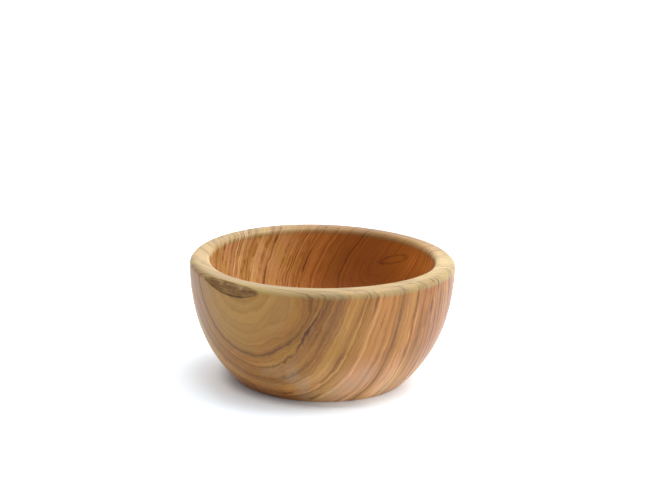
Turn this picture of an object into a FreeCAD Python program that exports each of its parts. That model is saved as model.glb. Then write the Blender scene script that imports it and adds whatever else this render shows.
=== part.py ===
"""A turned wooden bowl with a thick rounded rim, cut from the outer side of a log.

The bowl is one piece of wood. The blank lay so close to the outside of the log that the lathe
did not reach clean wood at one place on the rim, and a lens of the log's own bark side is left
there. The round shape is a half-section turned about Z. The log is a long cylinder that leans
over beside the bowl: what lies inside it is wood, and the thin layer on it is bark.

Millimetres, +Z up. The origin is the centre of the foot, on the surface that the bowl stands on.
The bark is on the rim's outer corner, towards -X and -Y.
"""
import FreeCAD, Part
import math
import os
import Sketcher
from FreeCAD import Vector

SIZES = [
    ("rim_diameter", 140.0, "widest diameter, just below the rim"),
    ("height", 65.8, "foot to rim"),
    ("wall", 10.8, "wall at the rim"),
    ("lip_outer_radius", 3.6, "outer round-over of the rim"),
    ("lip_inner_radius", 3.0, "inner round-over of the rim"),
    ("side_upper_radius", 104.9, "outside, from the rim down"),
    ("side_lower_radius", 73.1, "outside, down to the foot"),
    ("foot_edge_radius", 1.7, "rounded edge of the foot"),
    ("foot_diameter", 88.2, "flat that the bowl stands on"),
    ("recess_diameter", 66.0, "shallow recess turned in the foot"),
    ("recess_depth", 1.2, "depth of that recess"),
    ("recess_fillet", 0.5, "its rounded edges"),
    ("hollow_upper_radius", 105.0, "inside, from the rim down"),
    ("hollow_lower_radius", 34.0, "inside, where the wall turns into the floor"),
    ("hollow_floor_radius", 180.0, "inside, the dished floor"),
    ("floor_thickness", 10.3, "floor at the middle, above the surface that the bowl stands on"),
    ("log_radius", 100.0, "wood of the log, without its bark"),
    ("bark_thickness", 0.6, "bark left on the wood"),
    ("log_length", 400.0, "stretch of the log that is drawn, longer than the bowl"),
    ("heart_x", -5.5, "where the middle of the log crosses the floor"),
    ("heart_y", 26.9, "where the middle of the log crosses the floor"),
    ("log_lean", 38.9, "angle of the log from the vertical, in degrees"),
    ("log_turn", -18.1, "direction that it leans in, in degrees from +X towards +Y"),
]

START, END, CENTRE = 1, 2, 3            # a sketch's names for the points of a curve
ORIGIN = (-1, START)                    # the sketch's own origin
UPRIGHT_AXIS = -2                       # the sketch's own vertical axis


def fill_sheet(doc):
    """The sheet of driving dimensions, one row each: name, value, meaning."""
    sheet = doc.addObject("Spreadsheet::Sheet", "Sizes")
    for row, (name, value, meaning) in enumerate(SIZES, start=1):
        sheet.set(f"A{row}", name)
        sheet.set(f"B{row}", str(value))
        sheet.setAlias(f"B{row}", name)
        sheet.set(f"C{row}", meaning)
    doc.recompute()
    return sheet


def origin_plane(body, role):
    """One of the body's own base planes, such as XZ_Plane."""
    return next(item for item in body.Origin.OriginFeatures if item.Role == role)


def new_sketch(body, name, plane):
    """An empty sketch of the body on one of its own base planes."""
    sketch = body.newObject("Sketcher::SketchObject", name)
    sketch.AttachmentSupport = [(origin_plane(body, plane), "")]
    sketch.MapMode = "FlatFace"
    return sketch


def bind(sketch, kind, places, name, expression, value):
    """A dimension of the sketch, tied to the sheet, which starts at this value."""
    index = sketch.addConstraint(Sketcher.Constraint(kind, *places, value))
    sketch.renameConstraint(index, name)
    sketch.setExpression(f"Constraints.{name}", expression)


def arc(centre, radius, start, end):
    """The arc about this centre, anticlockwise from one angle to the other, in radians."""
    return Part.ArcOfCircle(Part.Circle(centre, Vector(0, 0, 1), radius), start, end)


def heading(start, end):
    """The angle of the way from one point to another, in radians."""
    return math.atan2(end.y - start.y, end.x - start.x)


def blend_centre(first, first_gap, second, second_gap):
    """The centre at these distances from two others, on the left of the way between them."""
    way = second - first
    along = (first_gap ** 2 - second_gap ** 2 + way.Length ** 2) / (2 * way.Length)
    across = math.sqrt(first_gap ** 2 - along ** 2)
    return first + (way * along + Vector(-way.y, way.x, 0) * across) / way.Length


def section_curves(size):
    """The half-section: foot, outside, rim, hollow and back down the axis, as closed curves."""
    rim = size.rim_diameter / 2
    opening = rim - size.wall
    foot = size.foot_diameter / 2
    top = size.height
    floor = size.floor_thickness
    lip_out, lip_in, edge = size.lip_outer_radius, size.lip_inner_radius, size.foot_edge_radius
    side_up, side_low = size.side_upper_radius, size.side_lower_radius
    hollow_up, hollow_low = size.hollow_upper_radius, size.hollow_lower_radius
    hollow_floor = size.hollow_floor_radius

    edge_centre = Vector(foot, edge, 0)
    lip_out_centre = Vector(rim - lip_out, top - lip_out, 0)
    lip_in_centre = Vector(opening + lip_in, top - lip_in, 0)
    side_up_centre = Vector(rim - side_up, top - lip_out, 0)
    side_low_centre = blend_centre(side_up_centre, side_up - side_low, edge_centre, side_low - edge)
    hollow_up_centre = Vector(opening - hollow_up, top - lip_in, 0)
    hollow_floor_centre = Vector(0, floor + hollow_floor, 0)
    hollow_low_centre = blend_centre(hollow_floor_centre, hollow_floor - hollow_low,
                                     hollow_up_centre, hollow_up - hollow_low)

    side_join = heading(side_up_centre, side_low_centre)
    edge_join = heading(side_low_centre, edge_centre)
    hollow_join = heading(hollow_up_centre, hollow_low_centre)
    floor_join = heading(hollow_floor_centre, hollow_low_centre)
    quarter = math.pi / 2
    return {
        "foot": Part.LineSegment(Vector(0, 0, 0), Vector(foot, 0, 0)),
        "foot_edge": arc(edge_centre, edge, -quarter, edge_join),
        "side_lower": arc(side_low_centre, side_low, edge_join, side_join),
        "side_upper": arc(side_up_centre, side_up, side_join, 0),
        "lip_outer": arc(lip_out_centre, lip_out, 0, quarter),
        "rim_top": Part.LineSegment(Vector(rim - lip_out, top, 0), Vector(opening + lip_in, top, 0)),
        "lip_inner": arc(lip_in_centre, lip_in, quarter, math.pi),
        "hollow_upper": arc(hollow_up_centre, hollow_up, hollow_join, 0),
        "hollow_lower": arc(hollow_low_centre, hollow_low, floor_join, hollow_join),
        "hollow_floor": arc(hollow_floor_centre, hollow_floor, -quarter, floor_join),
        "axis": Part.LineSegment(Vector(0, floor, 0), Vector(0, 0, 0)),
    }


def draw_section(sketch, size):
    """The half-section in the sketch, held by tangents and by dimensions from the sheet."""
    curves = section_curves(size)
    at = {name: sketch.addGeometry(curve, False) for name, curve in curves.items()}

    smooth_joins = [
        ("foot", END, "foot_edge", START),
        ("foot_edge", END, "side_lower", START),
        ("side_lower", END, "side_upper", START),
        ("side_upper", END, "lip_outer", START),
        ("lip_outer", END, "rim_top", START),
        ("rim_top", END, "lip_inner", START),
        ("lip_inner", END, "hollow_upper", END),
        ("hollow_upper", START, "hollow_lower", END),
        ("hollow_lower", START, "hollow_floor", END),
    ]
    for one, one_end, other, other_end in smooth_joins:
        sketch.addConstraint(Sketcher.Constraint("Tangent", at[one], one_end, at[other], other_end))
    sketch.addConstraint([
        Sketcher.Constraint("Coincident", at["foot"], START, *ORIGIN),
        Sketcher.Constraint("Coincident", at["axis"], END, *ORIGIN),
        Sketcher.Constraint("Coincident", at["hollow_floor"], START, at["axis"], START),
        Sketcher.Constraint("Horizontal", at["foot"]),
        Sketcher.Constraint("Horizontal", at["rim_top"]),
        Sketcher.Constraint("Vertical", at["axis"]),
        Sketcher.Constraint("Horizontal", at["side_upper"], CENTRE, at["lip_outer"], CENTRE),
        Sketcher.Constraint("Horizontal", at["hollow_upper"], CENTRE, at["lip_inner"], CENTRE),
        Sketcher.Constraint("PointOnObject", at["hollow_floor"], CENTRE, UPRIGHT_AXIS),
    ])

    radii = [
        ("foot_edge", "foot_edge_radius"),
        ("side_lower", "side_lower_radius"),
        ("side_upper", "side_upper_radius"),
        ("lip_outer", "lip_outer_radius"),
        ("lip_inner", "lip_inner_radius"),
        ("hollow_upper", "hollow_upper_radius"),
        ("hollow_lower", "hollow_lower_radius"),
        ("hollow_floor", "hollow_floor_radius"),
    ]
    for name, cell in radii:
        bind(sketch, "Radius", [at[name]], cell, f"Sizes.{cell}", getattr(size, cell))
    bind(sketch, "DistanceX", [*ORIGIN, at["foot"], END], "foot_radius",
         "Sizes.foot_diameter / 2", size.foot_diameter / 2)
    bind(sketch, "DistanceX", [*ORIGIN, at["side_upper"], END], "rim_radius",
         "Sizes.rim_diameter / 2", size.rim_diameter / 2)
    bind(sketch, "DistanceX", [at["lip_inner"], END, at["side_upper"], END], "wall_at_rim",
         "Sizes.wall", size.wall)
    bind(sketch, "DistanceY", [*ORIGIN, at["lip_outer"], END], "rim_height",
         "Sizes.height", size.height)
    bind(sketch, "DistanceY", [*ORIGIN, at["hollow_floor"], START], "floor_height",
         "Sizes.floor_thickness", size.floor_thickness)


def circle_edges(shape, radius):
    """The names of the shape's circular edges of this radius."""
    names = []
    for number, edge in enumerate(shape.Edges, start=1):
        if edge.Degenerated:            # the floor's middle point, which has no curve
            continue
        if isinstance(edge.Curve, Part.Circle) and math.isclose(edge.Curve.Radius, radius):
            names.append(f"Edge{number}")
    return names


def make_blank(doc, size):
    """The whole turned shape, before the log's surface takes its slice off the rim."""
    body = doc.addObject("PartDesign::Body", "turned_blank")

    section = new_sketch(body, "half_section", "XZ_Plane")
    draw_section(section, size)
    turned = body.newObject("PartDesign::Revolution", "turned_shape")
    turned.Profile = section
    turned.ReferenceAxis = (section, ["V_Axis"])
    turned.Angle = 360
    doc.recompute()

    circle = new_sketch(body, "recess_circle", "XY_Plane")
    recess_radius = size.recess_diameter / 2
    outline = circle.addGeometry(Part.Circle(Vector(0, 0, 0), Vector(0, 0, 1), recess_radius), False)
    circle.addConstraint(Sketcher.Constraint("Coincident", outline, CENTRE, *ORIGIN))
    bind(circle, "Radius", [outline], "recess_radius", "Sizes.recess_diameter / 2", recess_radius)
    recess = body.newObject("PartDesign::Pocket", "foot_recess")
    recess.Profile = circle
    recess.Reversed = True              # up into the wood
    recess.setExpression("Length", "Sizes.recess_depth")
    doc.recompute()

    cut_away = turned.Shape.Volume - recess.Shape.Volume
    expected = math.pi * recess_radius ** 2 * size.recess_depth
    if not math.isclose(cut_away, expected, rel_tol=1e-3):
        raise RuntimeError(f"the foot recess took {cut_away:.1f} mm3 away, not {expected:.1f}")

    rounded = body.newObject("PartDesign::Fillet", "recess_edges")
    rounded.Base = (recess, circle_edges(recess.Shape, recess_radius))
    rounded.setExpression("Radius", "Sizes.recess_fillet")
    doc.recompute()
    return body


def make_log(doc, name, radius):
    """The leaning log as a cylinder, its radius given as an expression of the sheet."""
    log = doc.addObject("Part::Cylinder", name)
    log.setExpression("Radius", radius)
    log.setExpression("Height", "Sizes.log_length")
    log.setExpression(
        "Placement",
        "placement(vector(Sizes.heart_x; Sizes.heart_y; 0);"
        " rotation(vector(0; 0; 1); Sizes.log_turn) * rotation(vector(0; 1; 0); Sizes.log_lean))"
        " * placement(vector(0; 0; -Sizes.log_length / 2); rotation(vector(0; 0; 1); 0))")
    return log


def join(doc, kind, label, base, tool):
    """A boolean of two objects, such as Part::Cut."""
    result = doc.addObject(kind, label)
    result.Label = label
    result.Base = base
    result.Tool = tool
    return result


def check(doc, parts):
    """Stops if any object failed, or if a sub-part isn't one sound solid."""
    failed = [item.Label for item in doc.Objects if {"Invalid", "Error"} & set(item.State)]
    if failed:
        raise RuntimeError(f"these objects failed: {failed}")
    for part in parts:
        shape = part.Shape
        if shape.isNull() or not shape.isValid() or len(shape.Solids) != 1:
            raise RuntimeError(f"{part.Label} isn't one valid solid")


def main():
    doc = FreeCAD.newDocument("turned_bowl")
    size = fill_sheet(doc)
    blank = make_blank(doc, size)
    wood = make_log(doc, "log_wood", "Sizes.log_radius")
    barked = make_log(doc, "log_with_bark", "Sizes.log_radius + Sizes.bark_thickness")

    bowl = join(doc, "Part::Common", "bowl", blank, wood)
    inside_bark = join(doc, "Part::Common", "inside_bark", blank, barked)
    bark_patch = join(doc, "Part::Cut", "bark_patch", inside_bark, wood)
    doc.recompute()

    parts = [bowl, bark_patch]
    check(doc, parts)
    os.makedirs("parts", exist_ok=True)
    for part in parts:
        part.Shape.exportStep(f"parts/{part.Label}.step")
        box = part.Shape.optimalBoundingBox()
        print(f"{part.Label}: {part.Shape.Volume:.1f} mm3, {box.XLength:.2f} x {box.YLength:.2f}"
              f" x {box.ZLength:.2f} mm, lowest point at {box.ZMin:.3f}")


main()
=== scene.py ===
"""A turned olive-wood bowl on a pale floor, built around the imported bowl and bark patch.

The bowl is one turned solid: a half-section of tangent arcs swept round Z, a little out of true
at the rim as dried wood is. Its figure comes from the log that it was cut from. The growth rings
are shells about the log's bowed heart, so one set of rings runs through the outside, the rim and
the hollow. The bark patch is the log's own outer side, left on the rim.

Sizes are in millimetres until a mesh is made. +Z up, the camera looks along +Y.
"""

import math

import bpy
from mathutils import Euler, Matrix, Vector, noise


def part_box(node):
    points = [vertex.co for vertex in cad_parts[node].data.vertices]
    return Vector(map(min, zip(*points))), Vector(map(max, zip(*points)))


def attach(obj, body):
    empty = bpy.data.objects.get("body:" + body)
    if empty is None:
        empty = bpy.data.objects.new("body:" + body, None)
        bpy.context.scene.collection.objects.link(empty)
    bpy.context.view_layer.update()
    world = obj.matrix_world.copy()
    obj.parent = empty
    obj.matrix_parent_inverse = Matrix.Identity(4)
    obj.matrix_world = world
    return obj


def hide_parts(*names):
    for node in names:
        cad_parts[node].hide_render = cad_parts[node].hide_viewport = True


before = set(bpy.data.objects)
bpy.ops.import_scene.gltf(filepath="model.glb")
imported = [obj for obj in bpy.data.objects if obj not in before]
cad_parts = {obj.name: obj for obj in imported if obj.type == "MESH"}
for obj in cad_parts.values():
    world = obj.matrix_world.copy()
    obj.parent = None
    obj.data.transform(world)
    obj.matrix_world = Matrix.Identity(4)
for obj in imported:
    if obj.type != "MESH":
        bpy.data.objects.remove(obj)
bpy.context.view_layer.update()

MM = 0.001
bowl_low, bowl_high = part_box("bowl")

# The half-section, as turned: radii of the places, radii of the arcs, heights.
RIM = (bowl_high.x - bowl_low.x) / 2 / MM
HEIGHT = bowl_high.z / MM
WALL = 10.8
LIP_OUTER = 3.6
LIP_INNER = 3.0
SIDE_UPPER = 104.9
SIDE_LOWER = 73.1
FOOT_EDGE = 1.7
FOOT = 44.1
RECESS = 33.0
RECESS_DEPTH = 1.2
RECESS_EDGE = 0.5
HOLLOW_UPPER = 105.0
HOLLOW_LOWER = 34.0
HOLLOW_FLOOR = 180.0
FLOOR_THICKNESS = 10.3
COLUMNS = 360                       # steps round the bowl
SHARP_EDGE = math.radians(22)       # a steeper bend between two faces shows as an edge

# How far the rim has dried out of true.
RIM_TILT = 0.5                      # up at the right, down at the left
RIM_SADDLE = 0.3                    # up at the front and back, down at the sides
RIM_TWIST = 0.47                    # the same, an eighth of a turn further on
RIM_OVAL = 0.2                      # narrower from front to back, wider from side to side

# The outside of the log, where it cuts the rim.
LOG_RADIUS = 100.0
LOG_HEART = Vector((-5.5, 26.9, 0))
LOG_AXIS = Euler((0, math.radians(38.9), math.radians(-18.1))).to_matrix() @ Vector((0, 0, 1))

# The bark patch on that facet.
BARK_TURN = math.radians(-43.8)     # the long way of the patch, from +X towards +Y
BARK_LEFT = -62                     # degrees round the bowl from the front, past its left end
BARK_STEP = 0.2                     # degrees
BARK_STEPS = 190
BARK_ROWS = 48
BARK_LIFT = 0.05                    # the patch's thin edge above the facet
BARK_SUNK = 0.25                    # its underside below the facet
BARK_HEIGHT = 0.28
RIDGE_HEIGHT = 0.2
LUMP_HEIGHT = 0.14
SIDE_RISE = 5                       # how fast it thickens from its long edges
END_RISE = 9                        # and from its two ends
RIDGES_ACROSS = 0.8                 # how often ridges follow on each other, across the patch
RIDGES_ALONG = 0.16                 # and along it
RIDGE_FRACTAL = (0.6, 2.1, 4)       # how fast finer ridges fade, how much finer, how many sorts
LUMPS = 0.35


# --- shapes ---------------------------------------------------------------------------------

def blend_centre(first, first_gap, second, second_gap):
    """The centre at these distances from two others, on the left of the way between them."""
    way = second - first
    along = (first_gap ** 2 - second_gap ** 2 + way.length_squared) / (2 * way.length)
    across = math.sqrt(first_gap ** 2 - along ** 2)
    return first + (way * along + Vector((-way.y, way.x)) * across) / way.length


def heading(start, end):
    """The angle of the way from one point to another."""
    return math.atan2(end.y - start.y, end.x - start.x)


def arc(centre, radius, start, end, steps):
    """Points of an arc from one angle to another, without its last point."""
    turns = [start + (end - start) * step / steps for step in range(steps)]
    return [centre + radius * Vector((math.cos(turn), math.sin(turn))) for turn in turns]


def line(start, end, steps):
    """Points of a straight stretch, without its last point."""
    return [start.lerp(end, step / steps) for step in range(steps)]


def half_section():
    """Points of the section as (radius, height): the foot, the side, the rim and the hollow."""
    quarter = math.pi / 2
    opening = RIM - WALL
    foot_centre = Vector((FOOT, FOOT_EDGE))
    side_up_centre = Vector((RIM - SIDE_UPPER, HEIGHT - LIP_OUTER))
    side_low_centre = blend_centre(side_up_centre, SIDE_UPPER - SIDE_LOWER,
                                   foot_centre, SIDE_LOWER - FOOT_EDGE)
    hollow_up_centre = Vector((opening - HOLLOW_UPPER, HEIGHT - LIP_INNER))
    floor_centre = Vector((0, FLOOR_THICKNESS + HOLLOW_FLOOR))
    hollow_low_centre = blend_centre(floor_centre, HOLLOW_FLOOR - HOLLOW_LOWER,
                                     hollow_up_centre, HOLLOW_UPPER - HOLLOW_LOWER)
    side_join = heading(side_up_centre, side_low_centre)
    foot_join = heading(side_low_centre, foot_centre)
    hollow_join = heading(hollow_up_centre, hollow_low_centre)
    floor_join = heading(floor_centre, hollow_low_centre)

    recess_corner = Vector((RECESS - RECESS_EDGE, RECESS_DEPTH - RECESS_EDGE))
    recess_lip = Vector((RECESS + RECESS_EDGE, RECESS_EDGE))
    return [
        *line(Vector((0, RECESS_DEPTH)), Vector((RECESS - RECESS_EDGE, RECESS_DEPTH)), 24),
        *arc(recess_corner, RECESS_EDGE, quarter, 0, 4),
        *arc(recess_lip, RECESS_EDGE, math.pi, 3 * quarter, 4),
        *line(Vector((RECESS + RECESS_EDGE, 0)), Vector((FOOT, 0)), 8),
        *arc(foot_centre, FOOT_EDGE, -quarter, foot_join, 6),
        *arc(side_low_centre, SIDE_LOWER, foot_join, side_join, 56),
        *arc(side_up_centre, SIDE_UPPER, side_join, 0, 34),
        *arc(Vector((RIM - LIP_OUTER, HEIGHT - LIP_OUTER)), LIP_OUTER, 0, quarter, 12),
        *line(Vector((RIM - LIP_OUTER, HEIGHT)), Vector((opening + LIP_INNER, HEIGHT)), 6),
        *arc(Vector((opening + LIP_INNER, HEIGHT - LIP_INNER)), LIP_INNER, quarter, math.pi, 10),
        *arc(hollow_up_centre, HOLLOW_UPPER, 0, hollow_join, 32),
        *arc(hollow_low_centre, HOLLOW_LOWER, hollow_join, floor_join, 48),
        *arc(floor_centre, HOLLOW_FLOOR, floor_join, -quarter, 22),
        Vector((0, FLOOR_THICKNESS)),
    ]


def at(points, place):
    """The point at a place such as 3.4 along a list of points."""
    whole = min(int(place), len(points) - 2)
    return points[whole].lerp(points[whole + 1], place - whole)


def turned(section_point, turn):
    """A point of the bowl's skin. Turn 0 is the front. The rim has dried slightly out of true."""
    radius, height = section_point
    dried = (height / HEIGHT) ** 2
    lift = (RIM_TILT * math.sin(turn) + RIM_SADDLE * math.cos(2 * turn)
            + RIM_TWIST * math.sin(2 * turn))
    radius -= RIM_OVAL * math.cos(2 * turn) * dried
    return Vector((radius * math.sin(turn), -radius * math.cos(turn), height + lift * dried))


def outside_log(point):
    """How far a point lies outside the log, and the way straight out of it."""
    offset = point - LOG_HEART
    away = offset - offset.dot(LOG_AXIS) * LOG_AXIS
    return away.length - LOG_RADIUS, away.normalized()


def trimmed(point):
    """The point, brought back to the log's surface if it lies outside the log."""
    excess, out = outside_log(point)
    return point - max(excess, 0) * out


def log_span(points, turn):
    """The stretch of the section that lies outside the log at this turn, or None."""
    excess = [outside_log(turned(point, turn))[0] for point in points]
    inside_out = [i for i in range(len(points) - 1) if excess[i] < 0 <= excess[i + 1]]
    outside_in = [i for i in range(len(points) - 1) if excess[i] >= 0 > excess[i + 1]]
    if not inside_out or not outside_in:
        return None
    first, last = inside_out[0], outside_in[0]
    return (first - excess[first] / (excess[first + 1] - excess[first]),
            last + excess[last] / (excess[last] - excess[last + 1]))


def new_piece(name, points, faces, material):
    """A smooth-shaded mesh object from points in millimetres."""
    mesh = bpy.data.meshes.new(name)
    mesh.from_pydata([point * MM for point in points], [], faces)
    mesh.shade_smooth()
    mesh.materials.append(material)
    piece = bpy.data.objects.new(name, mesh)
    bpy.context.scene.collection.objects.link(piece)
    return piece


def make_bowl(material):
    """The turned bowl. A row of points follows the edge of the bark-side facet exactly."""
    section = half_section()
    rows = len(section) - 2         # without the two points on the axis
    points = []
    for column in range(COLUMNS):
        turn = 2 * math.pi * column / COLUMNS
        places = [float(row) for row in range(1, rows + 1)]
        for place in log_span(section, turn) or ():
            places[round(place) - 1] = place
        points += [trimmed(turned(at(section, place), turn)) for place in places]
    foot_middle, floor_middle = len(points), len(points) + 1
    points += [turned(section[0], 0), turned(section[-1], 0)]

    faces = []
    for column in range(COLUMNS):
        here, there = column * rows, (column + 1) % COLUMNS * rows
        faces += [(here + row, there + row, there + row + 1, here + row + 1)
                  for row in range(rows - 1)]
        faces.append((foot_middle, there, here))
        faces.append((here + rows - 1, there + rows - 1, floor_middle))
    bowl = new_piece("turned_bowl", points, faces, material)
    bowl.data.set_sharp_from_angle(angle=SHARP_EDGE)
    return bowl


def make_bark(material):
    """The bark patch: a thin rough shell on the facet, closed underneath."""
    section = half_section()
    turns = [math.radians(BARK_LEFT + BARK_STEP * step) for step in range(BARK_STEPS)]
    spans = [(turn, log_span(section, turn)) for turn in turns]
    spans = [(turn, span) for turn, span in spans if span]
    top, under, upward = [], [], []
    for column, (turn, (first, last)) in enumerate(spans):
        from_ends = math.sin(math.pi * (column + 0.5) / len(spans))
        for row in range(BARK_ROWS + 1):
            skin = turned(at(section, first + (last - first) * row / BARK_ROWS), turn)
            base = trimmed(skin)
            out = outside_log(skin)[1]
            from_sides = math.sin(math.pi * row / BARK_ROWS)
            thick = min(1, SIDE_RISE * from_sides, END_RISE * from_ends)
            top.append(base + out * (BARK_LIFT + thick * bark_relief(base)))
            under.append(base - out * BARK_SUNK)
            upward.append(row / BARK_ROWS)
    piece = new_piece("bark_side", top + under, shell_faces(len(spans), BARK_ROWS + 1), material)
    piece.data.attributes.new("upward", "FLOAT", "POINT").data.foreach_set("value", upward * 2)
    return piece


def shell_faces(columns, rows):
    """Faces of a closed shell: a grid of points, column by column, and the same grid below it."""
    deep = columns * rows
    faces = []
    for column in range(columns - 1):
        for row in range(rows - 1):
            a = column * rows + row
            b = a + rows
            faces.append((a, b, b + 1, a + 1))
            faces.append((deep + a, deep + a + 1, deep + b + 1, deep + b))
    first_row = [column * rows for column in range(columns)]
    last_column = [(columns - 1) * rows + row for row in range(1, rows)]
    last_row = [column * rows + rows - 1 for column in range(columns - 2, -1, -1)]
    first_column = list(range(rows - 2, 0, -1))
    edge = first_row + last_column + last_row + first_column
    for here, there in zip(edge, edge[1:] + edge[:1]):
        faces.append((there, here, deep + here, deep + there))
    return faces


def bark_relief(point):
    """How high the bark stands at a point: low ridges along the patch, and lumps."""
    way = Vector((math.cos(BARK_TURN), math.sin(BARK_TURN), 0))
    along = point.dot(way)
    across = point - along * way
    ridges = noise.fractal(across * RIDGES_ACROSS + way * along * RIDGES_ALONG, *RIDGE_FRACTAL)
    lumps = noise.noise(point * LUMPS + Vector((7, 3, 1)))
    return BARK_HEIGHT + RIDGE_HEIGHT * ridges + LUMP_HEIGHT * lumps


# --- materials ------------------------------------------------------------------------------

class Graph:
    """Short calls for building a material's nodes. A value can be a number or a socket."""

    def __init__(self, name):
        self.material = bpy.data.materials.new(name)
        self.material.use_nodes = True
        self.tree = self.material.node_tree
        self.shader = self.tree.nodes["Principled BSDF"]

    def node(self, kind, *values, **settings):
        """A node with these settings and inputs, the inputs given in order."""
        node = self.tree.nodes.new(kind)
        for name, value in settings.items():
            setattr(node, name, value)
        for socket, value in zip(node.inputs, values):
            self.set(socket, value)
        return node

    def set(self, socket, value):
        """Links a socket into another, or writes a plain value to it."""
        if isinstance(value, bpy.types.NodeSocket):
            self.tree.links.new(value, socket)
        elif value is not None:
            socket.default_value = value

    def math(self, operation, *values):
        """The result of a calculation with numbers."""
        return self.node("ShaderNodeMath", *values, operation=operation).outputs[0]

    def vector(self, operation, *values):
        """The result of a calculation with vectors."""
        return self.node("ShaderNodeVectorMath", *values, operation=operation).outputs[0]

    def noise(self, vector, scale, detail=2.0, roughness=0.5):
        """Three-dimensional noise from 0 to 1."""
        return self.noise_texture("Vector", vector, scale, detail, roughness)

    def bands(self, position, scale, detail=2.0, roughness=0.5):
        """Noise along one length, from 0 to 1."""
        return self.noise_texture("W", position, scale, detail, roughness, noise_dimensions="1D")

    def noise_texture(self, socket, value, scale, detail, roughness, **settings):
        """The level of a noise texture that reads this socket."""
        node = self.node("ShaderNodeTexNoise", **settings)
        self.set(node.inputs[socket], value)
        node.inputs["Scale"].default_value = scale
        node.inputs["Detail"].default_value = detail
        node.inputs["Roughness"].default_value = roughness
        return node.outputs["Fac"]

    def spread(self, value, low, high, new_low=0.0, new_high=1.0):
        """The value moved smoothly from one range to another, and kept in it."""
        node = self.node("ShaderNodeMapRange", value, low, high, new_low, new_high,
                         interpolation_type="SMOOTHSTEP")
        return node.outputs[0]

    def fall(self, value, low, high):
        """1 up to the low value, falling smoothly to 0 at the high one."""
        return self.spread(value, low, high, 1, 0)

    def nearness(self, value, middle, reach):
        """1 where the value is the middle one, falling smoothly to 0 a reach away."""
        gap = self.math("ABSOLUTE", self.math("SUBTRACT", value, middle))
        return self.fall(gap, 0, reach)

    def near(self, place, centre, inner, outer):
        """1 within the inner distance of a point, falling smoothly to 0 at the outer one."""
        return self.fall(self.length(self.vector("SUBTRACT", place, centre)), inner, outer)

    def mix(self, share, first, second, blend="MIX"):
        """A colour mixed from two."""
        node = self.node("ShaderNodeMix", data_type="RGBA", blend_type=blend)
        self.set(node.inputs["Factor"], share)
        self.set(node.inputs[6], first)
        self.set(node.inputs[7], second)
        return node.outputs[2]

    def ramp(self, value, stops):
        """Colours or grey levels by position, as (position, colour or level) pairs."""
        node = self.node("ShaderNodeValToRGB", value)
        elements = node.color_ramp.elements
        while len(elements) < len(stops):
            elements.new(1.0)
        for element, (position, shade) in zip(elements, stops):
            element.position = position
            element.color = (*shade, 1) if isinstance(shade, tuple) else (shade, shade, shade, 1)
        return node.outputs[0]

    def place(self):
        """The place on the piece, in millimetres."""
        coordinates = self.node("ShaderNodeTexCoord").outputs["Object"]
        return self.vector("MULTIPLY", coordinates, (1 / MM, 1 / MM, 1 / MM))

    def seen_from(self, place, location=(0, 0, 0), rotation=(0, 0, 0), scale=(1, 1, 1)):
        """The place as seen from something that stands there, turned so and sized so."""
        node = self.node("ShaderNodeMapping", vector_type="TEXTURE")
        self.set(node.inputs["Vector"], place)
        node.inputs["Location"].default_value = location
        node.inputs["Rotation"].default_value = rotation
        node.inputs["Scale"].default_value = scale
        return node.outputs[0]

    def parts(self, vector):
        """The X, Y and Z of a vector."""
        return self.node("ShaderNodeSeparateXYZ", vector).outputs

    def join(self, x, y, z):
        """A vector from X, Y and Z."""
        return self.node("ShaderNodeCombineXYZ", x, y, z).outputs[0]

    def wander(self, value, vector, scale, reach, detail=1.0):
        """The value, moved up and down by noise, at most by about the reach."""
        sway = self.math("SUBTRACT", self.noise(vector, scale, detail), 0.5)
        return self.math("MULTIPLY_ADD", sway, 2 * reach, value)

    def tint(self, colour, red, green, blue):
        """The colour, with its red, green and blue multiplied."""
        return self.mix(1.0, colour, (red, green, blue, 1), "MULTIPLY")

    def tinted(self, colour, share, red, green, blue):
        """The colour, tinted where the share is 1."""
        return self.mix(share, colour, self.tint(colour, red, green, blue))

    def length(self, vector):
        """The length of a vector."""
        return self.node("ShaderNodeVectorMath", vector, operation="LENGTH").outputs["Value"]

    def bump(self, height, reach, strength):
        """A normal from a height. The reach is the depth in mm of one unit of height."""
        node = self.node("ShaderNodeBump")
        node.inputs["Strength"].default_value = strength
        node.inputs["Distance"].default_value = reach * MM
        self.set(node.inputs["Height"], height)
        return node.outputs[0]


# The log's heart: a place on it, the way it leans, and how it bends along its length, as
# factors of the length cubed and squared.
HEART_PLACE = (5.5, 85.1, 0)
HEART_LEAN = (0, math.radians(40.3), math.radians(-45.7))
BEND_X = (-1.93e-5, 1.75e-3)
BEND_Y = (-2e-5, 2e-3)
CORE_OFFSET = 6                     # the core of darker wood lies so far off, to -x and to -y

# How much of the log's length counts in its noise: the less, the longer the streaks.
FLAME = 0.4
FIBRE = 0.14
THREAD = 0.035

# The tree's growth: ring radius in mm, and how light the wood grew, from dark 0 to light 1.
GROWTH = (
    (0, 0.42), (24, 0.45), (33, 0.58), (43, 0.60), (55, 0.84), (59, 0.56), (66, 0.90),
    (70, 0.50), (78, 0.68), (84, 0.42), (88, 0.50), (96, 0.36), (103, 0.66), (106, 0.40),
    (113, 0.58), (118, 0.40), (121, 0.52), (122.5, 0.36), (125, 0.42), (128, 0.35),
    (129, 0.43), (133, 0.48),
)
LAST_RING = 133

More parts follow.
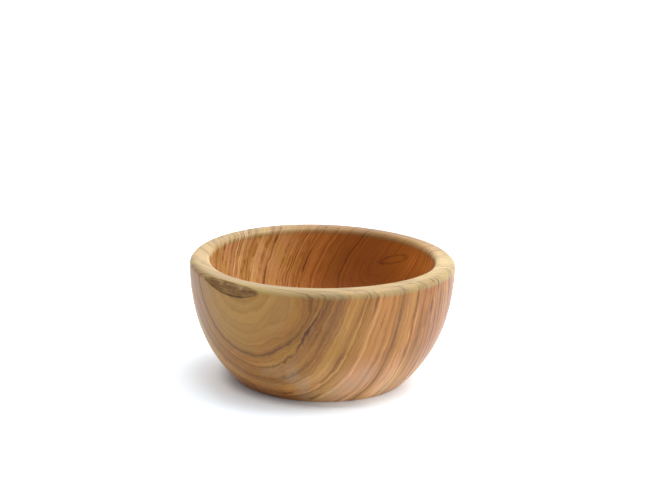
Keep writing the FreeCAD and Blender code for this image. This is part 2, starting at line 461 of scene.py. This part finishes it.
# Dark lines between rings: ring radius, depth and half-width.
HEART_LINES = (
    (18.0, 0.6, 0.7), (24.7, 0.5, 0.7), (31.7, 0.5, 0.6), (38.8, 0.5, 0.6), (45.0, 0.5, 0.5),
    (54.6, 0.6, 0.5), (58.8, 0.4, 0.5), (65.5, 0.6, 0.5), (71.1, 0.8, 0.6),
)
BOLD_LINE = 125.8
DARK_LINES = (
    (83.6, 0.5, 0.5), (96.3, 0.4, 0.7), (107.0, 0.6, 0.6), (109.6, 0.4, 0.4), (117.7, 0.7, 0.4),
    (123.2, 0.6, 0.3), (124.6, 0.4, 0.3), (BOLD_LINE, 0.95, 0.26), (126.6, 0.3, 0.2),
    (127.6, 1.0, 0.3),
)
BETWEEN_LINES = 75                  # a ring radius between the two sets of lines
BEYOND_LINES = 132

# Angles round the heart.
BROWNER_START = math.radians(-79)   # the sapwood turns browner between these two
BROWNER_END = math.radians(-71)
QUIET_END = math.radians(-74)       # the outer rings begin to waver more between these two
RESTLESS_START = math.radians(-68)
STAIN_TURN = math.radians(-67)      # a darker stretch of the outer rings
STAIN_REACH = math.radians(10)

# Single places on the bowl.
CROWDED_PLACE = (-9, -68, 47)       # the outermost rings crowd together
BOLD_PLACE = (-4.5, -68, 46)        # the bold line is at its darkest
KNOT_PLACE = (39.3, 43.8, 53.2)
KNOT_LEAN = (0, math.radians(-20.1), math.radians(-41.5))
KNOT_SIZE = (10, 2.6, 1.9)

# Colours by tone, from dark to light, and single colours, in linear red, green and blue.
WOOD_SHADES = (
    (0.0, (0.14, 0.052, 0.010)), (0.35, (0.275, 0.116, 0.022)),
    (0.62, (0.37, 0.168, 0.038)), (1.0, (0.49, 0.27, 0.095)),
)
SMOKE = (0.32, 0.235, 0.15, 1)
# painted sheen on the rim
RIM_SHEEN = (0.56, 0.475, 0.25, 1)
# painted highlight on the inner lip
LIP_HIGHLIGHT = (0.8, 0.66, 0.42, 1)
BARK_SHADES = (
    (0.1, (0.085, 0.038, 0.011)), (0.5, (0.175, 0.09, 0.029)),
    (0.75, (0.245, 0.145, 0.052)), (1.0, (0.33, 0.22, 0.09)),
)


class Spot:
    """A spot on the bowl, as sockets: its place on the bowl and its place in the log."""

    def __init__(self, g):
        self.place = g.place()
        self.side, self.back, self.height = g.parts(self.place)
        self.find_skin(g)
        self.find_log_place(g)
        self.calm = calm_share(g, self)
        self.find_ring(g)
        self.find_zones(g)

    def find_skin(self, g):
        """Whether the spot is on the outside or in the hollow. The wall leans as it rises."""
        self.from_axis = g.length(g.join(self.side, self.back, 0))
        in_wall = g.math("MULTIPLY_ADD", self.height, -0.32, self.from_axis)
        below_floor = g.math("MULTIPLY", g.spread(self.from_axis, 42, 44),
                             g.fall(self.height, 7, 10))
        self.outside = g.math("MAXIMUM", g.spread(in_wall, 44.6, 46.2), below_floor)
        self.inside = g.math("MULTIPLY", g.math("SUBTRACT", 1, self.outside),
                             g.spread(self.height, 8, 12))

    def find_log_place(self, g):
        """Across the grain (x, y), along it, round the heart, and out from the dark core."""
        x, y, along = g.parts(g.seen_from(self.place, HEART_PLACE, HEART_LEAN))
        square = g.math("MULTIPLY", along, along)
        bend_x = g.math("MULTIPLY", square, g.math("MULTIPLY_ADD", along, *BEND_X))
        bend_y = g.math("MULTIPLY", square, g.math("MULTIPLY_ADD", along, *BEND_Y))
        self.x = g.math("SUBTRACT", x, bend_x)
        self.y = g.math("ADD", y, bend_y)
        self.along = along
        self.turn = g.math("ARCTAN2", self.y, self.x)
        self.flame = self.grain(g, FLAME)
        self.fibre = self.grain(g, FIBRE)
        self.thread = self.grain(g, THREAD)
        self.core = g.length(g.join(g.math("ADD", self.x, CORE_OFFSET),
                                    g.math("ADD", self.y, CORE_OFFSET), 0))

    def grain(self, g, share):
        """The place in the log, shortened along the grain, so that noise in it is streaky."""
        return g.join(self.x, self.y, g.math("MULTIPLY", self.along, share))

    def find_ring(self, g):
        """The ring radius: how far from the heart, with the waver that real rings have."""
        ring = g.length(g.join(self.x, self.y, 0))
        sway = g.wander(g.wander(0.0, self.fibre, 0.04, 0.9), self.fibre, 0.16, 0.8)
        ripple = g.wander(g.wander(0.0, self.flame, 0.2, 0.8, 2), self.flame, 0.9, 0.22, 2)
        sway = g.math("MULTIPLY_ADD", ripple, g.math("SUBTRACT", 1, self.calm), sway)
        ring = g.math("MULTIPLY_ADD", sway, g.spread(ring, 105, 128, 1, 0.2), ring)
        crowded = g.near(self.place, CROWDED_PLACE, 4, 20)
        ring = g.math("MULTIPLY_ADD", crowded, g.spread(ring, 125.9, 127.2), ring)
        restless = g.math("MULTIPLY", g.spread(self.turn, QUIET_END, RESTLESS_START),
                          g.spread(ring, 112, 122))
        jitter = g.wander(0.0, self.flame, 0.4, 0.55, 3)
        ring = g.math("MULTIPLY_ADD", jitter, restless, ring)
        self.knot = knot_distance(g, self.place)
        self.ring = g.math("ADD", ring, g.spread(self.knot, 0.2, 1.6, 3, 0))

    def find_zones(self, g):
        """The sapwood, how strongly the rings show, and the rim, with a ragged lower edge."""
        self.sapwood = g.spread(self.ring, 126.5, 129)
        self.vivid = g.math("MULTIPLY", g.spread(self.core, 14, 34, 0.25, 1),
                            g.spread(self.ring, 127.6, 128.6, 1, 0.3))
        ragged = g.math("MULTIPLY_ADD", g.noise(self.fibre, 0.15, 2), 1.2, self.height)
        self.rim = g.spread(ragged, 62.3, 65.0)


def calm_share(g, spot):
    """Where the grain is plainer: towards the back of the outside, and low in the hollow."""
    behind = g.math("MULTIPLY", spot.outside, g.spread(spot.back, -25, 15, 0, 0.85))
    low = g.math("MULTIPLY", spot.inside, g.spread(spot.height, 16, 26, 0.8, 0))
    return g.math("MAXIMUM", behind, low)


def knot_distance(g, place):
    """Distance from the small knot on the inner wall: 1 is its outline."""
    seen = g.seen_from(place, KNOT_PLACE, KNOT_LEAN, KNOT_SIZE)
    wavy = g.vector("ADD", seen, g.node("ShaderNodeTexNoise", place).outputs["Color"])
    return g.length(g.vector("SUBTRACT", wavy, (0.5, 0.5, 0.5)))


def wood():
    """Oiled olive wood, its figure set by the log's rings."""
    g = Graph("olive_wood")
    spot = Spot(g)
    dark = dark_lines(g, spot)
    stain = stained_share(g, spot)
    # Painted shade: the lower left, on the side away from the lamps, is made darker and warmer.
    low_left_shade = g.math("MULTIPLY", g.fall(spot.height, 2, 12), g.fall(spot.side, -25, 8))
    streaks = g.math("SUBTRACT", g.noise(spot.thread, 1.6, 3, 0.6), 0.5)
    tone = g.math("MULTIPLY_ADD", dark, -0.54, ring_tone(g, spot))
    tone = g.math("MULTIPLY_ADD", streaks, 0.3, tone)
    tone = patchy_tone(g, spot, tone)
    tone = local_tone(g, spot, tone, stain, low_left_shade)

    colour = ring_colour(g, spot, tone, stain, low_left_shade)
    colour = outside_colour(g, spot, colour)
    colour = hollow_colour(g, spot, colour)
    colour = g.mix(smoky_share(g, spot, dark), colour, SMOKE)
    colour = rim_colour(g, spot, colour, dark)
    g.set(g.shader.inputs["Base Color"], colour)
    g.set(g.shader.inputs["Roughness"], g.spread(streaks, -0.3, 0.3, 0.36, 0.48))
    g.shader.inputs["Specular IOR Level"].default_value = 0.28
    pores = g.math("MULTIPLY_ADD", dark, -0.5, streaks)
    g.set(g.shader.inputs["Normal"], g.bump(pores, 0.05, 0.35))
    return g.material


def ring_tone(g, spot):
    """How light the wood grew at its ring, with broad, fine and, in the sapwood, narrow rings."""
    tone = g.ramp(g.math("DIVIDE", spot.ring, LAST_RING),
                  [(radius / LAST_RING, light) for radius, light in GROWTH])
    broad = g.math("SUBTRACT", g.bands(spot.ring, 0.45, 1), 0.5)
    tone = g.math("MULTIPLY_ADD", g.math("MULTIPLY", broad, spot.vivid), 0.45, tone)
    strength = g.spread(g.noise(spot.fibre, 0.28, 2), 0.3, 0.65, 0.3, 1)
    strength = g.math("MULTIPLY_ADD", spot.calm, g.math("SUBTRACT", 0.6, strength), strength)
    fine = g.math("SUBTRACT", g.bands(spot.ring, 0.9, 3, 0.65), 0.5)
    fine = g.math("MULTIPLY", g.math("MULTIPLY", fine, strength), spot.vivid)
    tone = g.math("MULTIPLY_ADD", fine, 1.5, tone)
    narrow = g.math("SUBTRACT", g.bands(spot.ring, 4.5, 1), 0.5)
    return g.math("MULTIPLY_ADD", g.math("MULTIPLY", narrow, spot.sapwood), 0.4, tone)


def stripes(g, ring, start, end, lines):
    """How dark the lines between two ring radii make the wood."""
    span = end - start
    stops = [(0.0, 0.0)]
    for radius, depth, half in lines:
        middle = (radius - start) / span
        stops += [(middle - half / span, 0.0), (middle, depth), (middle + half / span, 0.0)]
    share = g.math("DIVIDE", g.math("SUBTRACT", ring, start), span)
    return g.ramp(share, stops)


def dark_lines(g, spot):
    """Dark lines along the rings: the chosen ones, thin chance ones and the knot's outline."""
    chosen = g.math("MAXIMUM", stripes(g, spot.ring, BETWEEN_LINES, BEYOND_LINES, DARK_LINES),
                    stripes(g, spot.ring, 0, BETWEEN_LINES, HEART_LINES))
    unbroken = g.math("MAXIMUM", g.spread(g.noise(spot.fibre, 0.13, 1), 0.25, 0.6, 0.4, 1),
                      g.spread(spot.ring, 124, 125.5, 0, 0.85))
    chosen = g.math("MULTIPLY", chosen, unbroken)
    thin = g.nearness(g.bands(spot.ring, 0.32, 2, 0.6), 0.5, 0.07)
    thin = g.math("MULTIPLY", thin, g.spread(g.noise(spot.fibre, 0.2, 1), 0.4, 0.6, 0, 0.8))
    thin = g.math("MULTIPLY", thin, g.fall(spot.ring, 121, 123))
    thin = g.math("MULTIPLY", thin, g.math("SUBTRACT", 1, spot.calm))
    dark = g.math("MAXIMUM", chosen, g.math("MULTIPLY", thin, spot.vivid))
    outline = g.math("MULTIPLY", g.nearness(spot.knot, 1.0, 0.4), g.noise(spot.place, 0.25, 1))
    return g.math("MAXIMUM", dark, outline)


def stained_share(g, spot):
    """A darker stretch of the outer rings, below the rim at the front."""
    beside = g.nearness(spot.turn, STAIN_TURN, STAIN_REACH)
    outer = g.math("MULTIPLY", g.spread(spot.ring, 122, 124), g.fall(spot.ring, 128.0, 129.6))
    lines = g.spread(g.bands(spot.ring, 1.9, 2), 0.4, 0.56, 1, 0.5)
    high = g.spread(spot.height, 30, 44)
    return g.math("MULTIPLY", g.math("MULTIPLY", beside, outer), g.math("MULTIPLY", high, lines))


def patchy_tone(g, spot, tone):
    """The tone, with broad clouds and a darker core round the heart."""
    clouds = g.math("SUBTRACT", g.noise(spot.fibre, 0.07, 2), 0.5)
    tone = g.math("MULTIPLY_ADD", clouds, 0.25, tone)
    return g.math("MULTIPLY_ADD", g.fall(spot.core, 11, 25), -0.14, tone)


def local_tone(g, spot, tone, stain, low_left_shade):
    """The tone, darker or lighter in single parts of the bowl, with painted shade low at the left
    and painted light in the hollow.
    """
    far_right = g.math("MULTIPLY", g.spread(spot.side, 28, 52), g.fall(spot.ring, 36, 56))
    tone = g.math("MULTIPLY_ADD", stain, -0.25, tone)
    # painted shade, darker low at the left
    tone = g.math("MULTIPLY_ADD", low_left_shade, -0.12, tone)
    tone = g.math("MULTIPLY_ADD", far_right, 0.1, tone)
    # painted light, the whole hollow a little lighter
    return g.math("MULTIPLY_ADD", spot.inside, 0.03, tone)


def ring_colour(g, spot, tone, stain, low_left_shade):
    """The colour of the wood at its tone, from the red heart to the greener sapwood."""
    golden = g.math("SUBTRACT", g.spread(g.noise(spot.fibre, 0.09, 2), 0.42, 0.6), spot.sapwood)
    browner = g.math("MULTIPLY", spot.sapwood, g.spread(spot.turn, BROWNER_START, BROWNER_END))
    bold = g.math("MULTIPLY", g.nearness(spot.ring, BOLD_LINE, 0.24),
                  g.near(spot.place, BOLD_PLACE, 6, 18))
    left = g.math("MULTIPLY", g.fall(spot.side, -58, -10), g.fall(spot.ring, 118, 124))
    colour = g.ramp(tone, WOOD_SHADES)
    colour = g.mix(golden, g.tint(colour, 1.03, 0.98, 1.12), g.tint(colour, 0.99, 1.0, 0.92))
    # painted shade, warmer low at the left
    colour = g.tinted(colour, low_left_shade, 1.0, 0.78, 0.5)
    colour = g.tinted(colour, stain, 1.0, 0.9, 0.5)
    colour = g.tinted(colour, bold, 0.5, 0.44, 0.6)
    colour = g.tinted(colour, spot.sapwood, 1.0, 1.14, 1.08)
    colour = g.tinted(colour, browner, 0.93, 0.82, 0.68)
    colour = g.mix(g.spread(spot.ring, 112, 122), g.tint(colour, 1.0, 0.95, 0.84),
                   g.tint(colour, 0.97, 1.01, 0.86))
    colour = g.mix(g.spread(spot.ring, 12, 60), g.tint(colour, 1.0, 0.78, 0.55), colour)
    return g.tinted(colour, left, 1.25, 1.5, 2.2)


def outside_colour(g, spot, colour):
    """The colour: paler towards the foot and bluer low at the right, as painted light and
    reflection of the white floor, and redder at the right and warmer at the lower left, as painted
    shade.
    """
    # painted light from the white floor, paler towards the foot
    foot = g.math("MULTIPLY", g.fall(spot.height, 2, 32), g.spread(spot.side, -36, 8))
    colour = g.tinted(colour, g.math("MULTIPLY", foot, spot.outside), 1.55, 1.85, 3.0)
    # painted light from the floor, stronger on the lowest edge at the front and right
    edge = g.math("MULTIPLY", g.fall(spot.height, 3, 13), g.spread(spot.side, -28, -4))
    colour = g.tinted(colour, g.math("MULTIPLY", edge, spot.outside), 1.12, 1.2, 1.5)
    # painted shade, darker and redder at the right
    right = g.math("MULTIPLY", g.spread(spot.side, 36, 58), g.spread(spot.height, 10, 22))
    right = g.math("MULTIPLY", right, g.math("SUBTRACT", 1, spot.rim))
    colour = g.tinted(colour, g.math("MULTIPLY", right, spot.outside), 0.91, 0.8, 0.66)
    # painted reflection of the white floor, bluer and paler low at the right
    low_right_floor_light = g.math("MULTIPLY", g.nearness(spot.height, 20, 17), g.nearness(spot.side, 22, 36))
    colour = g.tinted(colour, g.math("MULTIPLY", low_right_floor_light, spot.outside), 1.03, 1.09, 1.63)
    # painted shade, warmer and darker low at the left
    warm_left_shade = g.math("MULTIPLY", g.fall(spot.height, 12, 30), g.fall(spot.side, -30, 0))
    return g.tinted(colour, g.math("MULTIPLY", warm_left_shade, spot.outside), 1.02, 0.93, 0.6)


def hollow_colour(g, spot, colour):
    """The colour, paler at both ends of the hollow, as painted light: on the left wall that faces
    the lamps, and on the shaded upper wall at the right.
    """
    # painted light on the left wall, which faces the lamps
    left = g.math("MULTIPLY", g.fall(spot.side, -58, -22), spot.inside)
    colour = g.tinted(colour, left, 1.08, 1.1, 1.35)
    # painted light on the shaded upper wall at the right
    right = g.math("MULTIPLY", g.spread(spot.side, 14, 50), g.spread(spot.height, 40, 56))
    return g.tinted(colour, g.math("MULTIPLY", right, spot.inside), 1.4, 1.5, 1.7)


def smoky_share(g, spot, dark):
    """Grey smoky patches on the outside, mostly near the foot, and not on the dark lines."""
    smoky = g.spread(g.noise(spot.grain(g, 0.6), 0.085, 3), 0.46, 0.7)
    smoky = g.math("MULTIPLY", smoky, g.spread(spot.height, 14, 32, 0.45, 0.08))
    smoky = g.math("MULTIPLY", smoky, g.spread(spot.side, -36, -22, 0.2, 1))
    return g.math("MULTIPLY", g.math("MULTIPLY", smoky, spot.outside), g.math("SUBTRACT", 1, dark))


def rim_colour(g, spot, colour, dark):
    """The colour on the rim: darker and greyer, more so at the back and greyer towards the right,
    with a painted sheen of the light from above and a painted highlight along its inner lip at the
    front.
    """
    muted = g.mix(g.spread(spot.back, 0, 40), g.tint(colour, 0.67, 0.73, 0.66),
                  g.tint(colour, 0.58, 0.68, 0.62))
    colour = g.mix(spot.rim, colour, muted)
    right = g.math("MULTIPLY", spot.rim, g.spread(spot.side, 10, 45))
    colour = g.tinted(colour, right, 0.85, 0.92, 1.04)
    # painted sheen of the light from above: the rim mixed towards a light colour, most at the
    # front and far right, less on the dark lines
    pale = g.math("ADD", g.spread(spot.back, -10, 50, 0.3, 0.1),
                  g.spread(spot.side, 54, 66, 0, 0.15))
    pale = g.math("MULTIPLY", spot.rim, pale)
    pale = g.math("MULTIPLY", pale, g.math("MULTIPLY_ADD", dark, -0.8, 1))
    colour = g.mix(pale, colour, RIM_SHEEN)
    # painted highlight along the inner lip at the front
    lip_highlight = g.math("MULTIPLY", g.nearness(spot.from_axis, 60.3, 0.9), spot.rim)
    lip_highlight = g.math("MULTIPLY", lip_highlight, g.spread(spot.back, -20, 10, 0.45, 0))
    return g.mix(lip_highlight, colour, LIP_HIGHLIGHT)


def bark():
    """Matt brown bark with ridges along the patch, scraped paler towards the top of the rim."""
    g = Graph("bark")
    place = g.place()
    x, y, z = g.parts(g.seen_from(place, rotation=(0, 0, BARK_TURN)))
    upward = g.node("ShaderNodeAttribute", attribute_name="upward").outputs["Fac"]
    ridge = g.join(g.math("MULTIPLY", x, 0.14), y, z)
    ridges = g.math("SUBTRACT", g.noise(ridge, 0.8, 4, 0.6), 0.5)
    blotches = g.math("SUBTRACT", g.noise(place, 0.3, 2), 0.5)
    scraped = g.math("MULTIPLY_ADD", blotches, 0.8, upward)
    cracks = g.nearness(g.noise(g.join(x, y, g.math("MULTIPLY", z, 0.3)), 0.6, 2), 0.5, 0.035)
    cracks = g.math("MULTIPLY", cracks, g.spread(x, 12, 20, 0, 0.6))
    tone = g.math("MULTIPLY_ADD", ridges, 1.35, 0.5)
    tone = g.math("MULTIPLY_ADD", blotches, 0.5, tone)
    tone = g.math("MULTIPLY_ADD", g.fall(upward, 0.0, 0.16), -0.3, tone)
    tone = g.math("MULTIPLY_ADD", g.spread(scraped, 0.5, 0.85), 0.22, tone)
    tone = g.math("MULTIPLY_ADD", cracks, 0.45, tone)
    g.set(g.shader.inputs["Base Color"], g.ramp(tone, BARK_SHADES))
    g.set(g.shader.inputs["Roughness"], g.spread(tone, 0.2, 0.9, 0.9, 0.7))
    g.shader.inputs["Specular IOR Level"].default_value = 0.25
    relief = g.math("MULTIPLY_ADD", ridges, 1.5, blotches)
    g.set(g.shader.inputs["Normal"], g.bump(relief, 0.4, 0.6))
    return g.material


# --- room -----------------------------------------------------------------------------------

FLOOR_REACH = 4.0                   # metres from the bowl to the floor's edges
FLOOR_COLOUR = (0.76, 0.84, 0.92, 1)
FLOOR_GLOW = 0.23                   # keeps the floor white away from the bowl's shadow
FAR_GLOW = 0.4                      # added far away, so that the floor meets the white room
WHITE = (1, 1, 1, 1)
ROOM_LIGHT = 0.58                   # how brightly the room lights the bowl
ROOM_SEEN = 1.05                    # how bright it looks behind it

# The camera, in metres and degrees.
CAMERA_DISTANCE = 1.12              # from the middle of the rim
CAMERA_ELEVATION = 15.3
CAMERA_ROLL = math.radians(1.5)
AIM_RIGHT = 0.0012                  # the picture's middle, from the middle of the rim
AIM_UP = 0.00735
SENSOR_WIDTH = 36
LENS = 117.3


def make_floor():
    """A wide flat floor. It glows a little, except close to the foot on its shadow side."""
    mesh = bpy.data.meshes.new("floor")
    reach = FLOOR_REACH
    corners = [(-reach, -reach, 0), (reach, -reach, 0), (reach, reach, 0), (-reach, reach, 0)]
    mesh.from_pydata(corners, [], [(0, 1, 2, 3)])
    g = Graph("pale_floor")
    g.shader.inputs["Base Color"].default_value = FLOOR_COLOUR
    g.shader.inputs["Roughness"].default_value = 0.6
    g.shader.inputs["Emission Color"].default_value = WHITE
    place = g.place()
    away = g.length(place)
    lit_side = g.spread(g.parts(place)[0], -20, 45, 0, 1.2)
    glow = g.math("MULTIPLY", g.math("MAXIMUM", g.spread(away, 46.5, 58), lit_side), FLOOR_GLOW)
    glow = g.math("ADD", glow, g.spread(away, 500, 1500, 0, FAR_GLOW))
    g.set(g.shader.inputs["Emission Strength"], glow)
    mesh.materials.append(g.material)
    floor = bpy.data.objects.new("floor", mesh)
    bpy.context.scene.collection.objects.link(floor)


def look(azimuth, elevation):
    """The direction from the bowl to a place round it. Azimuth 0 is the front, 90 the right."""
    a, e = math.radians(azimuth), math.radians(elevation)
    return Vector((math.sin(a) * math.cos(e), -math.cos(a) * math.cos(e), math.sin(e)))


def make_light(name, azimuth, elevation, distance, size, power, target):
    """A square soft box aimed at a point."""
    data = bpy.data.lights.new(name, "AREA")
    data.size = size
    data.energy = power
    light = bpy.data.objects.new(name, data)
    way = look(azimuth, elevation)
    light.location = target + way * distance
    light.rotation_euler = way.to_track_quat("Z", "Y").to_euler()
    bpy.context.scene.collection.objects.link(light)


def make_white_room():
    """An even white light from all round, that looks brighter than it shines."""
    world = bpy.data.worlds.new("white_room")
    world.use_nodes = True
    light_path = world.node_tree.nodes.new("ShaderNodeLightPath")
    strength = world.node_tree.nodes.new("ShaderNodeMapRange")
    background = world.node_tree.nodes["Background"]
    background.inputs["Color"].default_value = WHITE
    strength.inputs["To Min"].default_value = ROOM_LIGHT
    strength.inputs["To Max"].default_value = ROOM_SEEN
    world.node_tree.links.new(light_path.outputs["Is Camera Ray"], strength.inputs["Value"])
    world.node_tree.links.new(strength.outputs[0], background.inputs["Strength"])
    bpy.context.scene.world = world


def make_room():
    """The floor, the white room and four soft boxes, the strongest one nearly overhead."""
    bpy.context.scene.view_settings.view_transform = "Standard"
    make_white_room()
    make_floor()
    middle = Vector((0, 0, HEIGHT / 2 * MM))
    make_light("key", 95, 52, 1.2, 1.0, 6.3, middle)
    make_light("overhead", 112, 76, 1.2, 1.2, 22, middle)
    make_light("low_fill", 55, 8, 1.3, 0.7, 3, middle)
    make_light("backdrop", 180, 8, 1.5, 1.4, 6, middle)


def make_camera():
    """A long lens, a little above the bowl. The picture is turned slightly clockwise."""
    rim_middle = Vector((0, 0, HEIGHT * MM))
    back = look(0, CAMERA_ELEVATION)
    across = Vector((1, 0, 0))
    up = back.cross(across)
    right = across * math.cos(CAMERA_ROLL) + up * math.sin(CAMERA_ROLL)
    upward = up * math.cos(CAMERA_ROLL) - across * math.sin(CAMERA_ROLL)
    aim = rim_middle + right * AIM_RIGHT + upward * AIM_UP
    location = rim_middle + back * CAMERA_DISTANCE

    back = (location - aim).normalized()
    right = (right - right.dot(back) * back).normalized()
    turn = Matrix((right, back.cross(right), back)).transposed()
    data = bpy.data.cameras.new("camera")
    data.sensor_width = SENSOR_WIDTH
    data.lens = LENS
    camera = bpy.data.objects.new("camera", data)
    camera.matrix_world = Matrix.Translation(location) @ turn.to_4x4()
    bpy.context.scene.collection.objects.link(camera)
    bpy.context.scene.camera = camera


make_camera()
make_room()

bowl = make_bowl(wood())
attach(bowl, "root")
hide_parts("bowl")

bark_side = make_bark(bark())
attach(bark_side, "root")
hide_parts("bark_patch")
